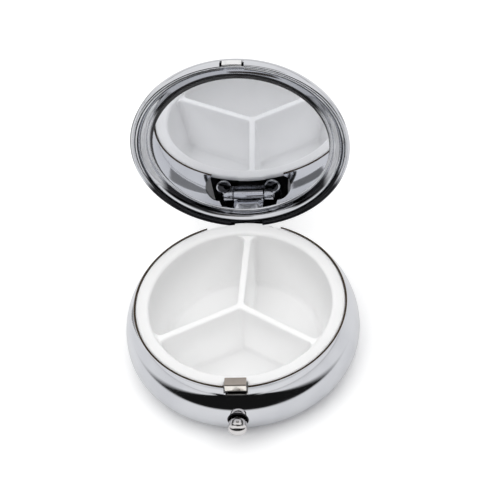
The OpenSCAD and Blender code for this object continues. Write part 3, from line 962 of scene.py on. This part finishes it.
class PILLCASE_OT_button(bpy.types.Operator):
    """Makes the push button, with its ball, stem and riveted tail, and the collar that it slides in"""

    bl_idname = "pillcase.button"
    bl_label = "Push button and collar"

    def execute(self, context):
        s, p = places()
        stand = along_button(s.button_height)
        obj = turned(
            "push_button_turned", self.button_outline(s, p), finishes()["button"],
            sides=SMALL_SIDES, matrix=stand,
        )
        finished(smooth(obj), finishes()["button"], LATCH, "button", "push_button")
        ring = turned(
            "collar_turned", self.collar_outline(s), finishes()["oxide"],
            closed=True, sides=SMALL_SIDES, matrix=stand,
        )
        finished(smooth(ring), finishes()["oxide"], BASE, "collar", "button_collar")
        return {"FINISHED"}

    def button_outline(self, s, p):
        """The peened head inside, the neck through the strip, the stem, and the ball with its dome."""
        washer, head, head_radius, head_edge, neck = (v * MM for v in (0.3, 0.3, 0.95, 0.12, 0.6))
        ball, stem = s.ball_diameter / 2, s.stem_diameter / 2
        strip = p["latch_y"] + s.latch_sheet + s.touch
        back, front, rear = -strip, -p["ball_y"], -(strip + s.latch_sheet + washer)
        end = rear - head
        meet = math.degrees(math.asin(stem / ball))
        return (
            [(0, end)] + arc(head_radius - head_edge, end + head_edge, head_edge, head_edge, -90, 90, steps=6)
            + [(neck, end + 2 * head_edge), (neck, back), (stem - s.fit, back), (stem, back + s.fit)]
            + arc(0, front, ball, ball, meet - 90, 0, steps=20)
            + arc(0, front + (1 - s.dome_depth) * ball, ball, s.dome_depth * ball, 0, 90, steps=24)
        )

    def collar_outline(self, s):
        """The collar's flange inside the shell, its wall with a rounded lip, and its flared bore."""
        low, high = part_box("button_collar")
        running, wall_out, lip = (v * MM for v in (0.08, 0.24, 0.06))
        ball, stem = s.ball_diameter / 2, s.stem_diameter / 2
        flange, bore, wall = (high.x - low.x) / 2, stem + running, ball + wall_out
        face, end = -low.y, -high.y
        step = end + s.sheet
        return (
            [(bore, end), (flange, end), (flange, step), (wall, step), (wall, face - lip)]
            + arc(wall - lip, face - lip, lip, lip, 0, 90, steps=4)
            + [(ball + s.fit, face), (bore, face - s.press)]
        )


class PILLCASE_OT_latch(bpy.types.Operator):
    """Makes the bent latch strip with rounded edges"""

    bl_idname = "pillcase.latch"
    bl_label = "Latch strip"

    def execute(self, context):
        s, p = places()
        bend, jog, below_button = 0.3 * MM, 0.6 * MM, 3 * MM
        front, sheet = p["latch_y"], s.latch_sheet
        strip, top = front + sheet + s.touch, s.base_height + s.latch_top
        nose, low = top - s.latch_face, s.button_height - below_button
        outline = (
            [(strip, low), (strip, nose - jog), (front, nose)]
            + arc(front + bend, top - bend, bend, bend, 180, 90, steps=6)
            + [(front + s.latch_length, top), (front + s.latch_length, top - sheet)]
            + [(front + sheet, top - sheet), (front + sheet, nose)]
            + [(strip + sheet, nose - jog), (strip + sheet, low)]
        )
        stand = Matrix(((0, 0, 1, -s.latch_width / 2), (1, 0, 0, 0), (0, 1, 0, 0), (0, 0, 0, 1)))
        obj = prism("latch_strip_bent", outline, s.latch_width, stand)
        rounded(obj, width=0.07 * MM, segments=3, degrees=40)
        finished(obj, finishes()["latch"], LATCH, "latch", "latch_strip")
        return {"FINISHED"}


def lid_outline(s, p, steps=40):
    """Outline of the closed lid, with its heights from the rim: recess, corner, rolled edge, inside."""
    outer, inner = p["corner"], p["corner"] - s.sheet
    ring, middle, bead = p["corner_ring"], p["corner_z"], s.bead_radius
    recess, slope, top = s.recess_diameter / 2, 0.35 * MM, s.lid_height
    up = math.degrees(math.asin((p["bead_z"] - middle) / outer))
    turn = math.degrees(math.acos((p["skin"] - p["bead_ring"]) / bead))
    start = p["bead_z"] + bead * math.sin(math.radians(turn))
    up_in = math.degrees(math.asin((start - middle) / inner))
    soft, slope_shares = 0.2 * MM, ((0.3, 0.85), (0.8, 0.12))
    return (
        [(0, top - s.recess_depth), (recess - soft, top - s.recess_depth)]
        + [(recess + out * slope, top - deep * s.recess_depth) for out, deep in slope_shares]
        + [(recess + slope + soft, top)]
        + arc(ring, middle, outer, outer, 90, up, steps)
        + arc(p["bead_ring"], p["bead_z"], bead, bead, 0, turn - 360, steps)
        + arc(ring, middle, inner, inner, up_in, 90, steps)
        + [(recess + slope, top - s.sheet), (recess, top - s.recess_depth - s.sheet)]
        + [(0, top - s.recess_depth - s.sheet)]
    )


class PILLCASE_OT_lid(bpy.types.Operator):
    """Makes the pressed lid with its rolled edge, the slot of the catch, and the catch"""

    bl_idname = "pillcase.lid"
    bl_label = "Lid shell and catch"

    def execute(self, context):
        s, p = places()
        above_catch = 0.4 * MM
        obj = turned("lid_shell_skin", lid_outline(s, p), finishes()["lid"])
        shelf = s.latch_top + s.play
        slot = block(
            "catch_slot", p["latch_slot"], -p["lid_r"] - OVER, -p["bead_ring"] + OVER,
            -OVER, shelf + above_catch,
        )
        half, top = s.knuckle_width / 2 + s.play, p["bead_z"] + s.bead_radius + s.sheet
        span = math.degrees(math.asin(half / p["skin"]))
        room = [(-half, p["foot"]), (half, p["foot"])]
        room += arc(0, 0, p["skin"], p["skin"], 90 - span, 90 + span, steps=12)
        leaf = prism("leaf_slot", room, top + OVER, Matrix.Translation((0, 0, -OVER)))
        cut(obj, slot, leaf)
        smooth(tidy_mesh(obj), degrees=35)
        obj.data.transform(p["opened"])
        finished(obj, finishes()["lid"], LID, "shell", "lid_shell")
        tongue = rounded(copy_of("lid_catch", "catch_tongue"), width=0.05 * MM)
        finished(tongue, finishes()["catch"], LID, "latch", "lid_catch")
        return {"FINISHED"}


def frame_outline(s, p):
    """Outline of the mirror's frame: its back, the round bead over the edge of the glass, and the cove."""
    view, cover = s.mirror_diameter / 2, s.mirror_diameter / 2 + s.bezel_cover + s.fit
    outer = p["bead_ring"] - s.bead_radius - s.fit
    sheet, r, low = s.frame_sheet, s.bezel_width / 2, 2 * s.play
    foot, glass = view + 2 * r, s.mirror_depth - s.touch
    wide, high = outer - sheet - foot, s.channel_depth - low
    return (
        arc(foot, low, wide + sheet, high + sheet, 0, 90, steps=24)
        + [(cover, s.channel_depth + sheet), (cover, glass), (view, glass)]
        + arc(view + r, s.mirror_depth - sheet + r, r, r, 180, 360, steps=16)
        + arc(foot, low, wide, high, 90, 0, steps=32)
    )


class PILLCASE_OT_mirror(bpy.types.Operator):
    """Makes the mirror and the frame that holds it, with its cove and its bead"""

    bl_idname = "pillcase.mirror"
    bl_label = "Mirror and frame"

    def execute(self, context):
        s, p = places()
        obj = turned("mirror_frame_ring", frame_outline(s, p), finishes()["cove"], closed=True)
        edge = s.mirror_diameter / 2 + s.bezel_width + s.play
        cut(obj, block("catch_room", p["latch_slot"], -p["lid_r"], -edge, -OVER, s.latch_top + s.play))
        smooth(tidy_mesh(obj), degrees=35)
        obj.data.transform(p["opened"])
        finished(obj, finishes()["cove"], LID, "frame_ring", "mirror_frame")
        r, low, bevel = s.mirror_diameter / 2 + s.bezel_cover, s.mirror_depth, 0.15 * MM
        high = low + s.mirror_thickness
        outline = [(0, low), (r - bevel, low), (r, low + bevel)]
        outline += [(r, high - bevel), (r - bevel, high), (0, high)]
        glass = turned(
            "mirror_disc", outline, finishes()["mirror"], sides=GLASS_SIDES, matrix=p["opened"]
        )
        finished(smooth(glass, degrees=30), finishes()["mirror"], LID, "mirror", "mirror_glass")
        return {"FINISHED"}


class PILLCASE_OT_hinge(bpy.types.Operator):
    """Makes the hinge: the lid's leaf and knuckle, the base's bracket and the pin, with rounded edges"""

    bl_idname = "pillcase.hinge"
    bl_label = "Hinge"

    def execute(self, context):
        made = finishes()
        rows = (
            ("lid_hinge_leaf", "hinge_leaf_bent", made["chrome"], LID, "hinge_leaf"),
            ("hinge_bracket", "hinge_bracket_pressed", made["blackened"], BASE, "inner_steel"),
            ("hinge_pin", "hinge_pin_turned", made["steel"], BASE, "inner_steel"),
        )
        for node, name, finish, body, slot in rows:
            finished(rounded(copy_of(node, name), width=0.06 * MM), finish, body, slot, node)
        # Puts a dark plate in the hinge's opening as painted shade
        self.painted_shade_plate()
        return {"FINISHED"}

    def painted_shade_plate(self, span=26, steps=32):
        """A near-black plate put behind the hinge as painted shade, which follows the tray's wall across the
        opening.
        """
        s, p = places()
        above_floor, below_flange, clear, sheet = (v * MM for v in (1, 0.3, 0.15, 0.15))
        low, high = p["tray_floor"] + above_floor, s.base_height - s.flange_thickness - below_flange
        start = p["tray_low"] + s.tray_wall + clear
        rise = s.tray_draft / (s.base_height - p["tray_floor"])
        inner, outer = (start + rise * (z - p["tray_floor"]) for z in (low, high))
        turns = np.radians(np.linspace(-span, span, steps + 1))
        form = bmesh.new()
        rows = []
        for r, z in ((inner, low), (outer, high), (outer + sheet, high), (inner + sheet, low)):
            rows.append([form.verts.new((r * math.sin(a), r * math.cos(a), z)) for a in turns])
        for row, after in zip(rows, rows[1:] + rows[:1]):
            joined(form, row, after, around=False)
        for end in (0, -1):
            form.faces.new([row[end] for row in rows])
        plate = linked("hinge_painted_shade_plate", closed_mesh("hinge_painted_shade_plate", form))
        finished(smooth(plate), finishes()["oxide"], BASE, "inner_steel")


class PILLCASE_OT_inside(bpy.types.Operator):
    """Gives the pieces that are hidden inside their finishes"""

    bl_idname = "pillcase.inside"
    bl_label = "Pieces inside"

    def execute(self, context):
        made = finishes()
        rows = {
            "latch_guide": "steel",
            "return_spring": "steel",
            "rivet_washer": "steel",
            "mirror_pad": "pad",
        }
        for node, finish in rows.items():
            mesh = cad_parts[node].data
            mesh.materials.clear()
            mesh.materials.append(made[finish])
        return {"FINISHED"}


class PILLCASE_OT_stage(bpy.types.Operator):
    """Sets the floor, the cards that the metal mirrors, the soft light, the sky and the camera"""

    bl_idname = "pillcase.stage"
    bl_label = "Stage"

    def execute(self, context):
        t = context.scene.case_stage
        self.camera(context, t)
        self.floor(t)
        self.cards(t)
        self.lamp(context, t)
        self.sky(context, t)
        context.scene.view_settings.view_transform = "Standard"
        return {"FINISHED"}

    def camera(self, context, t):
        data = bpy.data.cameras.new("Camera")
        data.sensor_width = t.sensor / MM
        data.lens = t.focal_length / MM
        data.clip_start, data.clip_end = 10 * MM, 20000 * MM
        obj = bpy.data.objects.new("Camera", data)
        context.scene.collection.objects.link(obj)
        ahead = Vector((
            math.sin(t.azimuth) * math.cos(t.elevation), math.cos(t.azimuth) * math.cos(t.elevation),
            -math.sin(t.elevation),
        ))
        right = Vector((math.cos(t.azimuth), -math.sin(t.azimuth), 0))
        up = right.cross(ahead)
        across = math.cos(t.roll) * right + math.sin(t.roll) * up
        over = math.cos(t.roll) * up - math.sin(t.roll) * right
        turn = Matrix((across, over, -ahead)).transposed().to_4x4()
        obj.matrix_world = Matrix.Translation((t.camera_x, t.camera_y, t.camera_z)) @ turn
        context.scene.camera = obj

    def floor(self, t):
        """A pale floor, which for the camera alone is paler, and plain white far away."""
        half = t.floor_size / 2

        def build(board):
            place = board.place()
            grain = board.noise(place, 0.02)
            seen = board.add("ShaderNodeLightPath").out("Is Camera Ray")
            plain = board.mix(grain, t.floor, shade_of(t.floor, 0.99))
            shade = board.mix(seen, plain, shade_of(t.floor, t.floor_gain))
            near = board.add("ShaderNodeBsdfDiffuse", None, Color=shade)
            far = seen * board.distance(place).step(t.floor_fades, 2 * t.floor_fades)
            white = board.add("ShaderNodeEmission", None, Color=(1, 1, 1, 1), Strength=1.0)
            return board.add("ShaderNodeMixShader", None, far, near, white)

        self.sheet("floor", (-half, -half, half, half), material("pale_floor", build))

    def sheet(self, name, corners, finish):
        """A flat rectangle of the stage, from its lower left to its upper right corner."""
        left, low, right, high = corners
        mesh = bpy.data.meshes.new(name)
        points = [(left, low, 0), (right, low, 0), (right, high, 0), (left, high, 0)]
        mesh.from_pydata(points, [], [(0, 1, 2, 3)])
        mesh.materials.append(finish)
        obj = linked(name, mesh)
        return obj

    def lamp(self, context, t):
        """The soft lamp overhead, a little to the left and the front, which shows in no reflection."""
        to_the_left, to_the_front = 50 * MM, 80 * MM
        data = bpy.data.lights.new("overhead", "AREA")
        data.shape = "SQUARE"
        data.size = t.lamp_size
        data.energy = t.lamp_watts
        obj = bpy.data.objects.new("overhead", data)
        obj.location = (-to_the_left, -to_the_front, t.lamp_height)
        obj.visible_glossy = False
        context.scene.collection.objects.link(obj)

    def cards(self, t):
        """Dark cards in front and grey ones behind, which show only in reflections."""
        upright = Matrix.Rotation(math.radians(90), 4, "X")
        side_fade, near_fade, room = 8 * MM, 4 * MM, 20 * MM

        def strip(board, place, x, y):
            """Keeps off the case's middle, and widens away from it."""
            side = t.strip_width / 2 - y * t.strip_spread - abs(x)
            near = board.distance(place).step(t.strip_near, t.strip_near + near_fade)
            return side.step(-side_fade, side_fade) * near

        half = t.strip_width / 2 + t.strip_spread * t.strip_length + room / 2
        lying = Matrix.Translation((0, 0, t.card_lift))
        self.card("dark_strip", (-half, -t.strip_length, half, 0), lying, t.dark_card, strip)
        stop = self.at(x=-35 * MM, y=-t.strip_length) @ upright
        self.patch("dark_stop", (360, 70), (80, 16), stop, t.dark_card)
        left = self.at(x=-118 * MM, y=68 * MM, z=t.card_lift)
        self.patch("grey_left", (150, 110), (6, 6), left, t.grey_card)
        right = self.at(turn=math.radians(128), y=-100 * MM, z=12 * MM) @ upright
        self.patch("grey_right", (68, 24), (10, 4), right, t.grey_card)
        size = (t.flag_width / MM, t.flag_height / MM)
        for turn in (-t.flag_turn, 0, t.flag_turn):
            flag = self.at(turn=turn, y=-t.flag_away, z=t.flag_low + t.flag_height / 2) @ upright
            self.patch("dark_flag", size, (12, 7), flag, t.dark_card)
        soft_share = 0.2
        soft = soft_share * t.hood_height / MM
        hood = self.at(turn=-t.hood_azimuth, tilt=-t.hood_elevation, y=-t.hood_away) @ upright
        self.patch("dark_hood", (t.hood_width / MM, t.hood_height / MM), (soft, soft), hood, t.dark_hood)

    def at(self, turn=0.0, tilt=0.0, x=0.0, y=0.0, z=0.0):
        """A card's place: moved from the middle, then tilted up and turned about the case."""
        turned_to = Matrix.Rotation(turn, 4, "Z") @ Matrix.Rotation(tilt, 4, "X")
        return turned_to @ Matrix.Translation((x, y, z))

    def patch(self, name, size, soft, matrix, shade):
        """A rectangular card with soft edges, by its size and the width of its edges in millimetres."""
        half, up, side_fade, end_fade = (v * MM for v in (size[0] / 2, size[1] / 2, *soft))

        def mask(board, place, x, y):
            return (half - abs(x)).step(0, side_fade) * (up - abs(y)).step(0, end_fade)

        self.card(name, (-half, -up, half, up), matrix, shade, mask)

    def card(self, name, corners, matrix, shade, mask):
        """A card whose mask says where it is."""

        def build(board):
            place = board.place()
            there = mask(board, place, *board.split(place)[:2])
            return board.add(
                "ShaderNodeBsdfPrincipled", None,
                Base_Color=(*shade, 1),
                Roughness=0.9,
                Alpha=there,
                Specular_IOR_Level=0.0,
            )

        obj = self.sheet(name, corners, material(name, build))
        obj.matrix_world = matrix
        obj.visible_camera = obj.visible_diffuse = obj.visible_shadow = False

    def sky(self, context, t):
        """Plain white for the camera and in reflections, and a weaker light on everything."""
        world = bpy.data.worlds.new("studio")
        world.use_nodes = True
        context.scene.world = world
        board = Board(world.node_tree)
        ray = board.add("ShaderNodeLightPath")
        mirrored, seen = ray.out("Is Glossy Ray"), ray.out("Is Camera Ray")
        lit, plain = (
            board.add("ShaderNodeBackground", None, Color=(1, 1, 1, 1), Strength=v) for v in (t.sky, 1.0)
        )
        both = board.add("ShaderNodeMixShader", None, (mirrored + seen).at_most(1), lit, plain)
        board.add("ShaderNodeOutputWorld", None, Surface=both)


class PILLCASE_PT_panel(bpy.types.Panel):
    """Lists the case's pieces, sizes and finishes"""

    bl_idname = "PILLCASE_PT_panel"
    bl_label = "Pill case"
    bl_space_type = "VIEW_3D"
    bl_region_type = "UI"
    bl_category = "Pill case"

    def draw(self, context):
        for operator in OPERATORS:
            self.layout.operator(operator.bl_idname)
        for group in (context.scene.case_sizes, context.scene.case_finishes, context.scene.case_stage):
            box = self.layout.box()
            for name in group.__annotations__:
                box.prop(group, name)


GROUPS = {"case_sizes": CaseSizes, "case_finishes": CaseFinishes, "case_stage": StageSettings}
OPERATORS = (
    PILLCASE_OT_stage, PILLCASE_OT_base, PILLCASE_OT_tray, PILLCASE_OT_button, PILLCASE_OT_latch,
    PILLCASE_OT_lid, PILLCASE_OT_mirror, PILLCASE_OT_hinge, PILLCASE_OT_inside,
)


def register():
    for name, group in GROUPS.items():
        bpy.utils.register_class(group)
        setattr(bpy.types.Scene, name, PointerProperty(type=group))
    for operator in OPERATORS:
        bpy.utils.register_class(operator)
    bpy.utils.register_class(PILLCASE_PT_panel)


def unregister():
    bpy.utils.unregister_class(PILLCASE_PT_panel)
    for operator in reversed(OPERATORS):
        bpy.utils.unregister_class(operator)
    for name, group in reversed(GROUPS.items()):
        delattr(bpy.types.Scene, name)
        bpy.utils.unregister_class(group)


def main():
    """Registers the classes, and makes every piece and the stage."""
    register()
    for operator in OPERATORS:
        getattr(bpy.ops.pillcase, operator.bl_idname.split(".")[1])()
    bpy.context.view_layer.update()


if __name__ == "__main__":
    main()
